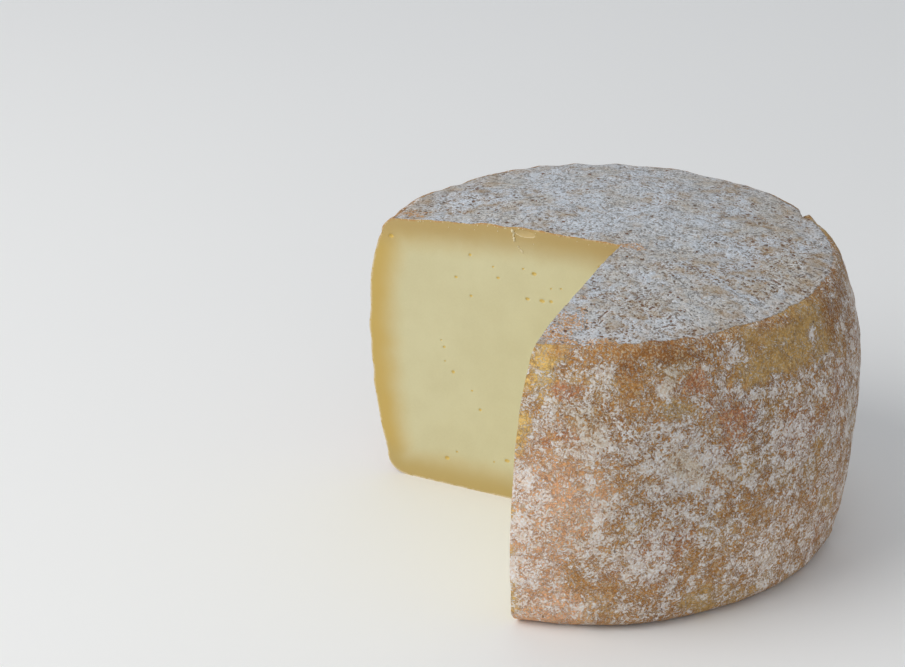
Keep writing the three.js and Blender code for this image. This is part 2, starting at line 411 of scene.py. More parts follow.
def top_height(flat, rim_radius, rim_z, rounds=4):
    """Height of the domed top over points of the plan, found in rounds because the wheel leans."""
    height = np.ones(len(flat))
    for _ in range(rounds):
        away, angle = from_middle(flat, height)
        share = np.hypot(*away.T) / (rim_radius * off_round(angle))
        z = rim_z + DOME * (1 - share**2)
        height = z / RIM_HEIGHT
    even = np.column_stack([rim_radius * share * np.cos(angle), rim_radius * share * np.sin(angle), z])
    return z + height * (away @ SLOPE) + RELIEF(even) * smoothstep(0.9, 1, height)


def fan(rim, step, height_of):
    """Arcs between the knife's corner and a rim, from the corner outwards, without either."""
    reach = np.hypot(*(rim[:, :2] - CORNER).T).mean()
    rows = round(reach / step)
    arcs = []
    for row in range(1, rows):
        share = row / rows
        rays = spread(REST_TURN * reach * share, step)
        edge = (rays - rays[0]) / (rays[-1] - rays[0]) * (len(rim) - 1)
        low = np.minimum(edge.astype(int), len(rim) - 2)
        part = (edge - low)[:, None]
        outer = rim[low, :2] * (1 - part) + rim[low + 1, :2] * part
        flat = onto_cuts(CORNER + share * (outer - CORNER))
        arcs.append(np.column_stack([flat, height_of(flat)]))
    return arcs


def stitch(first, second):
    """Triangles between two neighbouring arcs of point numbers, which run the same way."""
    triangles = []
    a = b = 0
    last_a, last_b = len(first) - 1, len(second) - 1
    while a < last_a or b < last_b:
        next_a = (a + 1) / last_a if a < last_a else math.inf
        next_b = (b + 1) / last_b if b < last_b else math.inf
        if next_a <= next_b:
            triangles.append((first[a], first[a + 1], second[b]))
            a += 1
        else:
            triangles.append((first[a], second[b + 1], second[b]))
            b += 1
    return triangles


def rind_surface():
    """Points and triangles of base, side and top, and the numbers of the points along the two cuts."""
    profile = side_profile()
    side = [ring(radius, z, SIDE_STEP) for radius, z in profile]
    base = fan(side[0], BASE_STEP, lambda flat: np.zeros(len(flat)))
    top = fan(side[-1], TOP_STEP, lambda flat: top_height(flat, *profile[-1]))[::-1]
    low_corner = np.array([[*CORNER, 0.0]])
    high_corner = np.array([[*CORNER, top_height(CORNER[None], *profile[-1])[0]]])
    arcs = [low_corner, *base, *side, *top, high_corner]
    starts = np.cumsum([0] + [len(arc) for arc in arcs])
    numbers = [np.arange(a, b) for a, b in zip(starts[:-1], starts[1:])]
    triangles = [t for one, two in zip(numbers[:-1], numbers[1:]) for t in stitch(one, two)]
    ends = {FIRST_CUT: np.array([n[0] for n in numbers]), LAST_CUT: np.array([n[-1] for n in numbers])}
    return np.vstack(arcs), triangles, ends


def away_from(points, line, distance):
    """Which points keep a distance to every point of a line."""
    return np.array([np.hypot(*(line - p).T).min() > distance for p in points])


def distance_to_line(points, line):
    """Distance of points of a plane to an open line of points."""
    best = np.full(len(points), np.inf)
    for start, run in zip(line[:-1], np.diff(line, axis=0)):
        t = np.clip(((points - start) @ run) / max(run @ run, TINY), 0, 1)
        best = np.minimum(best, np.hypot(*(points - start - t[:, None] * run).T))
    return best


def eye_points(along, up, across, high):
    """Points on the rings in and round an eye."""
    points = []
    for share, least in EYE_RINGS:
        count = max(least, round(share * across * RING_POINTS))
        for k in range(count):
            turn = 2 * math.pi * (k + share) / count
            points.append((along + share * across * math.cos(turn), up + share * high * math.sin(turn)))
    return points


def cut_surface(outline, column, hollows):
    """Fills a cut face, with finer rows of points under the rind and rings of points in its hollows.

    Gives the (along, up) points, the triangles, which of the points put in each one stands for, and how many
    of those are the outline's and the column's, which come first.
    """
    loop = np.vstack([outline, column])
    run = np.gradient(outline, axis=0)
    inward = np.column_stack([-run[:, 1], run[:, 0]]) / np.maximum(np.hypot(*run.T), TINY)[:, None]
    rows = np.vstack([outline[2:-2] + inward[2:-2] * depth for depth in SKIN_ROWS])
    rows = rows[rows[:, 0] > ROW_START]
    rows = rows[away_from(rows, outline, ROW_GAP)]
    height = CUT_STEP * math.sqrt(3) / 2
    grid = np.array([
        (CUT_STEP * (i + 0.5 * (j % 2)) + GRID_START, height * j)
        for j in range(round(RIM_HEIGHT * 1.1 / height))
        for i in range(round(RADIUS * 1.15 / CUT_STEP))
    ])
    grid = grid[away_from(grid, outline, GRID_GAP)]
    for along, up, across, high in hollows:
        grid = grid[np.hypot((grid[:, 0] - along) / across, (grid[:, 1] - up) / high) > EYE_CLEAR]
    eyes = np.array([point for hollow in hollows for point in eye_points(*hollow)])
    eyes = eyes[away_from(eyes, np.vstack([outline, rows]), EYE_GAP)]
    points = np.vstack([loop, rows, grid, eyes])
    edges = [(i, (i + 1) % len(loop)) for i in range(len(loop))]
    only_inside, same_point = 1, 1e-5
    found = delaunay_2d_cdt([Vector(p) for p in points], edges, [], only_inside, same_point)
    used, faces = np.unique(np.array(found[2]), return_inverse=True)
    flat = np.array([tuple(found[0][i]) for i in used])
    return flat, faces.reshape(-1, 3), [found[3][i] for i in used], len(loop)


def lumpy(points, size, octaves, shift):
    """Fractal noise, about -1 to 1, at points."""
    at = np.asarray(points) / size + shift
    return np.array([noise.fractal(p, 1.0, 2.0, octaves) for p in at])


def cut_points(points, ends, cut):
    """The outline of a cut as (along, up), and its corner column, between the knife's two corners."""
    way, _ = run_of(cut)
    outline = np.column_stack([(points[ends, :2] - CORNER) @ way, points[ends, 2]])
    outline[[0, -1], 0] = 0
    top = outline[-1, 1]
    count = round(top / CUT_STEP)
    column = np.column_stack([np.zeros(count - 1), np.linspace(top, 0, count + 1)[1:-1]])
    return outline, column


def dents_of(along, up, hollows):
    """How deep each point of the cut lies in a hollow, from 0 outside to 1 in its middle."""
    dent = np.zeros(len(along))
    for x, z, across, high in hollows:
        away = ((along - x) / across) ** 2 + ((up - z) / high) ** 2
        dent = np.maximum(dent, np.sqrt(np.clip(1 - away, 0, 1)) * min(1, across))
    return dent


def scattered_eyes():
    """Eyes like those that show, for the hidden cut: (along, height, half width, half height)."""
    random = random_from(CRUST_SEED + 1)
    eyes = []
    for _ in range(HIDDEN_EYES):
        along, up, half = (between(random, *limits) for limits in HIDDEN_LIMITS)
        eyes.append((along, up, half, 0.8 * half))
    return eyes


def longer(facts, **more):
    """Facts about points, with those of further points after them."""
    return {name: np.concatenate([facts[name], more[name]]) for name in facts}


def wheel_points():
    """The whole wheel: its points and triangles, which triangles are paste, facts about the points, how many
    of the points are rind, and the numbers of those along the cuts."""
    points, triangles, ends = rind_surface()
    rind_count, rind_triangles = len(points), len(triangles)
    facts = {name: np.zeros(rind_count) for name in ("depth", "eye", "scar")}
    for cut in (LAST_CUT, FIRST_CUT):
        way, inward = run_of(cut)
        shows = cut == LAST_CUT
        outline, column = cut_points(points, ends[cut], cut)
        if shows:
            points = np.vstack([points, np.column_stack([np.tile(CORNER, (len(column), 1)), column[:, 1]])])
            none = np.zeros(len(column))
            facts = longer(facts, depth=distance_to_line(column, outline), eye=none, scar=none)
        eyes = [(CORNER[0] - x, *rest) for x, *rest in EYES] if shows else scattered_eyes()
        scars = [(CORNER[0] - SCAR[0], *SCAR[1:])] if shows else []
        flat, faces, origin, loop_count = cut_surface(outline, column, eyes + scars)
        known = np.concatenate([ends[cut], rind_count + np.arange(len(column))])
        number = np.full(len(flat), -1)
        for i, sources in enumerate(origin):
            on_loop = [source for source in sources if source < loop_count]
            if on_loop:
                number[i] = known[on_loop[0]]
        fresh = number < 0
        number[fresh] = len(points) + np.arange(fresh.sum())
        along, up = flat[fresh].T
        dent = dents_of(along, up, eyes)
        torn = dents_of(along, up, scars)
        plan = CORNER + along[:, None] * way + (EYE_DEPTH * dent + SCAR_DEPTH * torn)[:, None] * inward
        points = np.vstack([points, np.column_stack([plan, up])])
        facts = longer(facts, depth=distance_to_line(flat[fresh], outline), eye=dent, scar=torn)
        corners = number[faces]
        triangles.extend(corners[:, ::-1] if shows else corners)
    paste = np.arange(len(triangles)) >= rind_triangles
    return points, np.array(triangles), paste, facts, rind_count, ends


def beyond_rim(points):
    """How far points lie outside the rim of the top in plan, and much for the lower half."""
    radius, _ = side_profile()[-1]
    away, angle = from_middle(points[:, :2], points[:, 2] / RIM_HEIGHT)
    beyond = np.hypot(*away.T) - radius * off_round(angle)
    return np.where(points[:, 2] < 0.5 * RIM_HEIGHT, RADIUS, beyond)


def split_open(points):
    """How deep points of the rind lie in the split, from 0 to 1, and how high on its lip."""
    run = SPLIT[1] - SPLIT[0]
    length = math.hypot(*run)
    run = run / length
    across = np.array([-run[1], run[0]])
    from_outer = points[:, :2] - SPLIT[0]
    along = from_outer @ run / length
    off = from_outer @ across / SPLIT_HALF
    there = smoothstep(-0.4, 0, along) * smoothstep(*SPLIT_FADE, points[:, 2])
    gash = there * smoothstep(1, 0.75, along) * np.clip(1 - np.abs(off), 0, 1)
    beside = off - 1.2
    steep, gentle = 0.4, 3
    lip = np.exp(-((beside / np.where(beside < 0, steep, gentle)) ** 2))
    return gash, there * smoothstep(1.3, 0.8, along) * lip


def crumb_points(number):
    """A small lump about one across, whose uneven surface differs with its number."""
    mesh = bmesh.new()
    bmesh.ops.create_icosphere(mesh, subdivisions=2, radius=0.5)
    points = np.array([v.co[:] for v in mesh.verts])
    triangles = np.array([[v.index for v in face.verts] for face in mesh.faces])
    mesh.free()
    return points * (1 + 0.5 * lumpy(points, 0.5, 2, (number, 0.5, 0.5)))[:, None], triangles


def build_crumbs():
    """Crumbs of paste that cling to the cut, half sunk in it."""
    random = random_from(CRUST_SEED)
    rim = side_profile()[-1]
    crumbs = list(CRUMBS)
    for _ in range(EDGE_CRUMBS):
        x = CORNER[0] - between(random, *CRUMB_ALONG)
        edge = top_height(np.array([[x, CORNER[1]]]), *rim)[0]
        below = CRUMB_BELOW[0] + CRUMB_BELOW[1] * next(random) ** 2
        crumbs.append((x, edge - below, between(random, *CRUMB_SIZES)))
    points, triangles = [], []
    for number, (x, height, size) in enumerate(crumbs):
        lump, faces = crumb_points(number)
        turn = Matrix.Rotation(2 * math.pi * next(random), 3, Vector((next(random), next(random), 0.5)))
        lump = lump @ np.array(turn) * np.array([size, 0.7 * size, 1.2 * size])
        points.append(lump + np.array([x + AXIS[0], CORNER[1] + AXIS[1] - 0.12 * size, height]))
        triangles.append(faces + number * len(lump))
    return make_mesh("paste_crumbs", np.vstack(points), np.vstack(triangles))


def make_mesh(name, points, triangles):
    """A smooth mesh from points in millimetres."""
    mesh = bpy.data.meshes.new(name)
    mesh.vertices.add(len(points))
    mesh.vertices.foreach_set("co", (points * MM).astype(np.float32).ravel())
    mesh.loops.add(3 * len(triangles))
    mesh.loops.foreach_set("vertex_index", triangles.astype(np.int32).ravel())
    mesh.polygons.add(len(triangles))
    mesh.polygons.foreach_set("loop_start", np.arange(0, 3 * len(triangles), 3, dtype=np.int32))
    mesh.update(calc_edges=True)
    mesh.validate()
    mesh.polygons.foreach_set("use_smooth", np.ones(len(mesh.polygons), bool))
    return mesh


def vertex_normals(points, triangles):
    """Normals of points, each from its triangles' normals by their areas."""
    a, b, c = (points[triangles[:, i]] for i in range(3))
    face = np.cross(b - a, c - a)
    normal = np.zeros_like(points)
    for i in range(3):
        np.add.at(normal, triangles[:, i], face)
    return normal / np.maximum(np.linalg.norm(normal, axis=1), TINY)[:, None]


def blend(colors, share, other):
    """Colours of points, each brought by its share towards another colour."""
    return colors + (np.array(other) - colors) * share[:, None]


def back_places():
    """The places that show and every second one once more, at random angles of the hidden side."""
    random = np.random.default_rng(BACK_SEED)
    return [(random.uniform(*BACK_ANGLES), *rest) for _, *rest in SIDE_PLACES + SIDE_PLACES[::2]]


def side_paint(angle, height, wander, spread_noise):
    """Cover, bare colour and mould colour of points of the side, by their angles in degrees and heights.
    Towards the right and on the lower right the colours are lighter as painted light.
    """
    rim_band = smoothstep(103, 108, height)
    foot_band = smoothstep(10, 3, height)
    low_left = smoothstep(-60, -80, angle) * smoothstep(95, 60, height)
    # The lower right, where painted light thrown up from the floor falls
    bounce_lit_low_right = smoothstep(55, 25, height) * (smoothstep(-80, -50, angle) + smoothstep(-50, -25, angle)) / 2

    cover = 0.5 * spread_noise - 0.5 * foot_band - 0.6 * rim_band - 0.15
    cover += 0.45 * smoothstep(0, 15, angle) - 0.15 * smoothstep(-45, -20, angle)
    ground = np.tile(OCHRE, (len(angle), 1))
    ground = blend(ground, 0.7 * smoothstep(0.05, 0.6, wander["warm"]), RED)
    ground = blend(ground, 0.7 * smoothstep(0.05, 0.6, wander["olive"]), OLIVE)
    ground = blend(ground, 0.7 * smoothstep(0.1, 0.6, -wander["warm"]), BROWN)
    ground = blend(ground, 0.5 * rim_band, BROWN)
    ground = blend(ground, 0.85 * low_left, SALMON)
    ragged = 0.9 * wander["ragged"]
    for turn, middle, wide, tall, more, *bare in (*SIDE_PLACES, *back_places()):
        along = ((angle - turn + 180) % 360 - 180) * math.pi / 180 * RADIUS
        share = smoothstep(1.5, 0.4, np.hypot(along / wide, (height - middle) / tall) + ragged)
        cover += more * share
        if bare:
            ground = blend(ground, share, *bare)
    # The bare crust is lighter towards the left edge, and on the lower right as painted light
    ground[:, :3] *= 1 + 0.18 * smoothstep(-50, -75, angle)[:, None] + 0.16 * bounce_lit_low_right[:, None]

    mould = np.tile(WARM_MOULD, (len(angle), 1))
    mould = blend(mould, smoothstep(-70, -45, angle) * smoothstep(200, 150, angle), GREY_MOULD)
    mould = blend(mould, 0.7 * smoothstep(0.1, 0.5, wander["pale"]), PALE_MOULD)
    mould = blend(mould, 0.7 * low_left, LIGHT_MOULD)
    # Painted light: the mould is lighter towards the right and on the lower right
    mould = blend(mould, smoothstep(-50, -20, angle), RIGHT_LIT_MOULD)
    mould = blend(mould, bounce_lit_low_right, LIGHT_MOULD)
    return cover, ground, mould


def top_paint(x, y, wander, spread_noise):
    """How pitted points of the top are, the colour of their felt, and how thin it is."""
    ragged = 0.9 * wander["ragged"]

    def away(middle_x, middle_y, wide, deep):
        return np.hypot((x - middle_x) / wide, (y - middle_y) / deep) + ragged

    pitted = 0.7 * spread_noise
    felt = np.tile(COOL_FELT, (len(x), 1))
    felt = blend(felt, 0.6 * smoothstep(-0.1, 0.5, wander["pale"]), BEIGE_FELT)
    felt = blend(felt, 0.5 * smoothstep(0.1, 0.7, wander["olive"]), DARK_FELT)
    for where, more, *tone in TOP_PLACES:
        share = smoothstep(1.3, 0.5, away(*where))
        pitted += more * share
        if tone:
            felt = blend(felt, 0.5 * share, *tone)
    thin = np.max([smoothstep(1.3, 0.4, away(*where)) for where in THIN_FELT], axis=0)
    return pitted, felt, thin


def build_wheel():
    """The wheel's mesh, with its fine relief, and what its materials need to know of its points."""
    points, triangles, paste, facts, rind_count, ends = wheel_points()
    normals = vertex_normals(points, triangles[~paste])
    rind = points[:rind_count]

    spread_noise = lumpy(rind, *SPREAD_NOISE)
    wander = {name: lumpy(rind, size, 4, (size, 1.3, 8.2)) for name, size in WANDER_SIZES.items()}
    rough = lumpy(rind, *ROUGH_NOISE)
    rise = lumpy(rind, *GRAIN_NOISE)
    angle = np.degrees(np.arctan2(rind[:, 1], rind[:, 0]))
    cover, ground, mould = side_paint(angle, rind[:, 2], wander, spread_noise)
    pitted, felt, thin = top_paint(rind[:, 0], rind[:, 1], wander, spread_noise)
    beyond = beyond_rim(rind)
    gash, lip = split_open(rind)

    lift = ROUGH_LIFT * rough + MOULD_LIFT * smoothstep(-0.2, 0.5, cover)
    lift += (GRAIN_LIFT + TOP_GRAIN_MORE * (beyond < 0)) * rise
    lift += LIP * lip - SPLIT_DEPTH * gash
    lift[rind[:, 2] < FLAT_BASE] = 0
    move = normals[:rind_count] * lift[:, None]
    for cut in (FIRST_CUT, LAST_CUT):
        _, inward = run_of(cut)
        across = move[ends[cut], :2] @ inward
        move[ends[cut], :2] -= across[:, None] * inward
    points[:rind_count] += move
    points[:, :2] += AXIS

    mesh = make_mesh("pecorino", points, triangles)
    facts |= {"cover": cover, "pitted": pitted, "thin": thin, "beyond": beyond, "rise": rise, "gash": gash}
    for name, values in facts.items():
        filled = np.concatenate([values, np.zeros(len(points) - len(values))])
        mesh.attributes.new(name, "FLOAT", "POINT").data.foreach_set("value", filled.astype(np.float32))
    for name, values in {"ground": ground, "mould": mould, "felt": felt}.items():
        filled = np.vstack([values, np.tile(OCHRE, (len(points) - rind_count, 1))])
        layer = mesh.attributes.new(name, "FLOAT_COLOR", "POINT")
        layer.data.foreach_set("color", filled.astype(np.float32).ravel())
    mesh.polygons.foreach_set("material_index", paste.astype(np.int32))
    sharpen_cuts(mesh, paste)
    mesh.update()
    return mesh


def sharpen_cuts(mesh, paste):
    """Marks the edges between rind and paste, and the knife's corner, as sharp."""
    count = len(mesh.edges)
    edge_of_loop = np.empty(3 * len(paste), np.int32)
    mesh.loops.foreach_get("edge_index", edge_of_loop)
    normals = np.empty(3 * len(paste), np.float32)
    mesh.polygons.foreach_get("normal", normals)
    normals = np.repeat(normals.reshape(-1, 3), 3, axis=0)
    mixed = np.bincount(edge_of_loop, np.repeat(paste, 3), count) == 1
    sums = [np.bincount(edge_of_loop, normals[:, i], count) for i in range(3)]
    turned = np.linalg.norm(sums, axis=0) < 1.6  # the normals of a flat edge's two sides add up to 2
    mesh.attributes.new("sharp_edge", "BOOLEAN", "EDGE").data.foreach_set("value", mixed | turned)


class Shader:
    """A material's nodes, written as functions of sockets and numbers."""

    def __init__(self, name):
        self.material = bpy.data.materials.new(name)
        self.material.use_nodes = True
        self.tree = self.material.node_tree
        self.tree.nodes.clear()
        self.surface = self.node("ShaderNodeBsdfPrincipled", {})
        self.node("ShaderNodeOutputMaterial", {"Surface": self.surface.outputs["BSDF"]})
        place = self.node("ShaderNodeTexCoord", {}).outputs["Object"]
        self.place = self.vector("SCALE", place, scale=1 / MM)

    def put(self, node, inputs):
        """Links the inputs that are sockets, and sets the others."""
        for key, value in inputs.items():
            if isinstance(value, bpy.types.NodeSocket):
                self.tree.links.new(value, node.inputs[key])
            else:
                node.inputs[key].default_value = value

    def node(self, kind, inputs, **settings):
        node = self.tree.nodes.new(kind)
        for key, value in settings.items():
            setattr(node, key, value)
        self.put(node, inputs)
        return node

    def attribute(self, name, kind="Fac"):
        return self.node("ShaderNodeAttribute", {}, attribute_name=name).outputs[kind]

    def math(self, operation, *values):
        return self.node("ShaderNodeMath", dict(enumerate(values)), operation=operation).outputs[0]

    def times(self, one, other):
        return self.math("MULTIPLY", one, other)

    def times_plus(self, one, other, more):
        return self.math("MULTIPLY_ADD", one, other, more)

    def larger(self, one, other):
        return self.math("MAXIMUM", one, other)

    def about_half(self, value, times):
        """How far a value is from a half, times a factor."""
        return self.times_plus(value, times, -0.5 * times)

    def step(self, value, low, high):
        inputs = {"Value": value, "From Min": low, "From Max": high, "To Min": 0.0, "To Max": 1.0}
        return self.node("ShaderNodeMapRange", inputs, interpolation_type="SMOOTHSTEP").outputs["Result"]

    def vector(self, operation, *values, scale=None, output=0):
        inputs = dict(enumerate(values))
        if scale is not None:
            inputs["Scale"] = scale
        return self.node("ShaderNodeVectorMath", inputs, operation=operation).outputs[output]

    def split(self, place, axis):
        return self.node("ShaderNodeSeparateXYZ", {"Vector": place}).outputs[axis]

    def noise(self, size, detail=3.0, roughness=0.5, distortion=0.0, place=None, output="Fac"):
        inputs = {"Vector": place or self.place, "Scale": 1 / size, "Detail": detail, "Roughness": roughness,
                  "Distortion": distortion}
        return self.node("ShaderNodeTexNoise", inputs).outputs[output]

    def bent(self, place, size, detail, reach):
        """Places pushed about by a noise, so that what is drawn on them curls."""
        push = self.noise(size, detail, place=place, output="Color")
        push = self.vector("SUBTRACT", push, (0.5, 0.5, 0.5))
        return self.vector("ADD", place, self.vector("SCALE", push, scale=reach))

    def lines(self, value, wide, thin):
        """Thin curved lines where a noise passes its middle value."""
        return self.step(self.math("ABSOLUTE", self.math("SUBTRACT", value, 0.5)), wide, thin)

    def dots(self, size, share, radius):
        """Scattered small round dots in a share of the cells of a size."""
        ragged = self.bent(self.place, 0.5 * size, 2, 0.7 * size)
        cells = self.node("ShaderNodeTexVoronoi", {"Vector": ragged, "Scale": 1 / size})
        chance, wide = (self.split(cells.outputs["Color"], axis) for axis in ("X", "Y"))
        away = self.times_plus(wide, -radius, self.times(cells.outputs["Distance"], size))
        return self.times(self.step(away, 0.5 * radius, 0.2 * radius), self.math("LESS_THAN", chance, share))

    def near(self, start, end, place):
        """Distance from a place to a straight line between two points."""
        way = tuple((end - start).normalized())
        from_start = self.vector("SUBTRACT", place, tuple(start))
        along = self.vector("DOT_PRODUCT", from_start, way, output="Value")
        along = self.math("MINIMUM", self.larger(along, 0.0), (end - start).length)
        return self.vector("DISTANCE", from_start, self.vector("SCALE", way, scale=along), output="Value")

    def mix(self, share, one, other):
        return self.node("ShaderNodeMix", {0: share, 6: one, 7: other}, data_type="RGBA").outputs[2]

    def over(self, under, tone, share, strength):
        """A colour laid over another by a share times a strength."""
        return self.mix(self.times(share, strength), under, tone)

    def shade(self, tone, dark, light, share):
        """A colour times a factor that goes from dark to light."""
        return self.vector("SCALE", tone, scale=self.times_plus(share, light - dark, dark))

    def tinted(self, tone, value, strength):
        """A colour whose red, green and blue wander by a noise, each by its own strength."""
        base = tuple(1 - 0.5 * s for s in strength)
        return self.vector("MULTIPLY", tone, self.vector("MULTIPLY_ADD", value, strength, base))

    def finish(self, tone, rough, shine, height, reach, strength=1.0):
        """The material with its colour, roughness, specular level, and bumps of a reach."""
        bump = self.node("ShaderNodeBump", {"Strength": strength, "Distance": reach * MM, "Height": height})
        self.put(self.surface, {"Base Color": tone, "Roughness": rough, "Normal": bump.outputs[0],
                                "Specular IOR Level": shine})
        return self.material


def side_nodes(n):
    """The side's colour and height. Mould grows by a score of places, ragged patches and fuzz. Crevices,
    gaps and pores get painted shade.
    """
    ground, mould = n.attribute("ground", "Color"), n.attribute("mould", "Color")
    score = n.times_plus(n.attribute("cover"), 0.17, n.about_half(n.crisp, 1.65))
    score = n.math("ADD", score, n.about_half(n.fuzz, 1.2))
    score = n.times_plus(n.rise, 0.05, score)
    grown = n.step(score, -0.035, -0.005)
    threads = n.lines(n.noise(1.3, 2.0, 0.5, 1.0, place=n.curled), 0.04, 0.015)
    threads = n.times(threads, n.step(score, -0.5, -0.15))
    white = n.larger(grown, threads)
    shaded_gaps = n.lines(n.noise(2.0, 3.0, 0.6, 0.8, place=n.curled), 0.028, 0.012)
    shaded_gaps = n.times(shaded_gaps, n.step(n.noise(5.0, 2), 0.45, 0.53))
    flecks = n.step(n.noise(0.8, 2.0, 0.5, place=n.swirled), 0.53, 0.60)

    bare = n.shade(ground, 0.82, 1.16, n.step(n.noise(1.4, 4, 0.7), 0.38, 0.62))
    bare = n.over(bare, FLECK, flecks, 0.6)
    # Painted shade: the bare crust is darker and redder in crevices by the mould's edge and in thin gaps
    painted_crevice_shade = n.vector("MULTIPLY", ground, CREVICE_SHADE)
    bare = n.over(bare, painted_crevice_shade, n.step(score, -0.14, -0.05), 0.15)
    thin_skin = n.vector("SCALE", n.mix(0.3, mould, bare), scale=1.06)
    skin = n.mix(n.fine, thin_skin, n.vector("MULTIPLY", mould, THICK_MOULD_SHADE))
    tone = n.over(bare, skin, white, 0.94)
    tone = n.over(tone, painted_crevice_shade, shaded_gaps, 0.7)
    # Small pores, dark with painted shade
    tone = n.over(tone, PORE_SHADE, n.dots(3.0, 0.08, 0.45), 0.7)
    tone = n.tinted(tone, n.grit, (0.4, 0.72, 1.1))
    height = n.times_plus(white, 0.5, n.times(n.fuzz, 0.6))
    return tone, n.times_plus(shaded_gaps, -0.3, height)


def tear_nodes(n):
    """Where the felt is torn, and where it curls up beside a tear, which gets a painted highlight."""
    wobble = n.bent(n.place, 1.2, 3, 1.2)
    rim = side_profile()[-1]
    torn = curl_highlight = 0.0
    for half, *line in TEARS:
        heights = top_height(np.array(line), *rim)
        line = [Vector((x + AXIS[0], y + AXIS[1], z)) for (x, y), z in zip(line, heights)]
        for start, end in zip(line[:-1], line[1:]):
            away = n.near(start, end, wobble)
            torn = n.larger(torn, n.step(away, 1.3 * half, 0.7 * half))
            curl_highlight = n.larger(curl_highlight, n.step(away, 3.4 * half, 2.2 * half))
    return n.times(torn, n.step(n.noise(1.7, 2), 0.4, 0.47)), curl_highlight


def top_nodes(n):
    """The top's colour and height: felt with a brown net, worn places, pits, short cracks and tears. Its
    tips and curls get painted highlights, its hollows, pits, cracks and tears painted shade.
    """
    pitted, felt = n.attribute("pitted"), n.attribute("felt", "Color")
    nap = n.times_plus(n.rise, 0.15, n.noise(1.0, 2.5, 0.65))
    # Painted shade: the hollows of the nap are darker, and browner where the felt is pitted
    hollow = n.mix(n.step(pitted, -0.4, 0.9), GREY_HOLLOW_SHADE, BROWN_HOLLOW_SHADE)
    tone = n.mix(n.step(nap, 0.4, 0.52), hollow, n.vector("SCALE", felt, scale=1.03))
    # Painted highlights on the felt's tips
    highlit_tips = n.step(n.noise(1.1, 3.0, 0.6, place=n.curled), 0.56, 0.64)
    tone = n.over(tone, FELT_TIP_HIGHLIGHT, highlit_tips, 0.65)
    tone = n.shade(tone, 0.91, 1.09, n.step(n.noise(4.0, 3.0, 0.6), 0.38, 0.62))
    tone = n.tinted(tone, n.grit, (0.7, 0.75, 0.9))
    mottle = n.step(n.noise(8.0, 4.0, 0.65), 0.47, 0.62)
    tone = n.over(tone, MOTTLE, n.times(mottle, n.step(pitted, -0.7, 0.6)), 0.62)
    net = n.lines(n.noise(2.4, 3.0, 0.6, 0.6), 0.03, 0.015)
    tone = n.over(tone, NET, n.times(net, n.step(n.noise(4.0, 3), 0.48, 0.56)), 0.55)
    by_the_rim = n.step(n.beyond, -14.0, -2.0)
    tone = n.mix(by_the_rim, tone, n.vector("MULTIPLY", tone, RIM_FELT_SHADE))
    worn = n.times_plus(n.attribute("thin"), 0.3, n.about_half(n.fuzz, 1.4))
    tone = n.over(tone, n.mix(n.fine, WORN_DARK, WORN_LIGHT), n.step(worn, 0.27, 0.31), 0.8)

    holes = n.dots(1.9, n.times_plus(pitted, 0.2, 0.16), 0.6)
    cracks = n.lines(n.noise(6.0, 3, 0.5, 0.4), 0.014, 0.006)
    cracks = n.times(cracks, n.step(n.noise(6.0, 2), 0.60, 0.65))
    torn, curl_highlight = tear_nodes(n)
    marks = n.larger(n.larger(holes, cracks), torn)
    # Painted highlight on the felt that curls up beside a tear
    tone = n.over(tone, FELT_CURL_HIGHLIGHT, n.times(curl_highlight, n.fine), 0.6)
    # Holes, cracks and tears show the dark crust, with painted shade in them
    pit_shade = n.mix(n.step(n.noise(9.0, 2), 0.45, 0.6), BROWN_PIT_SHADE, GREY_PIT_SHADE)
    tone = n.over(tone, pit_shade, marks, 0.9)
    return tone, n.times_plus(marks, -0.6, n.times(nap, 1.8))


def rind_material():
    """The rind, whose side and top meet along a ragged line near the rim."""
    n = Shader("aged_rind")
    n.swirled = n.bent(n.place, 6.0, 2, 3.0)
    n.curled = n.bent(n.swirled, 1.8, 3, 1.6)
    n.crisp = n.noise(4.8, 8.0, 0.72, place=n.curled)
    n.fuzz = n.noise(0.95, 2.0, 0.6, place=n.curled)
    n.grit = n.noise(0.9, 3.0, 0.7)
    n.fine = n.step(n.grit, 0.40, 0.60)
    n.rise, n.beyond = n.attribute("rise"), n.attribute("beyond")
    side, side_bumps = side_nodes(n)
    top, top_bumps = top_nodes(n)
    lid = n.step(n.times_plus(n.about_half(n.crisp, 1.0), -4.0, n.beyond), 0.8, 0.3)
    tone = n.mix(lid, side, top)
    # Inside the split the rind is painted dark brown: bare crust and painted shade
    tone = n.over(tone, SPLIT_SHADE_BROWN, n.step(n.attribute("gash"), 0.15, 0.5), 0.85)
    height = n.node("ShaderNodeMix", {0: lid, 2: side_bumps, 3: top_bumps}, data_type="FLOAT").outputs[0]
    return n.finish(tone, rough=0.88, shine=0.25, height=height, reach=0.38)


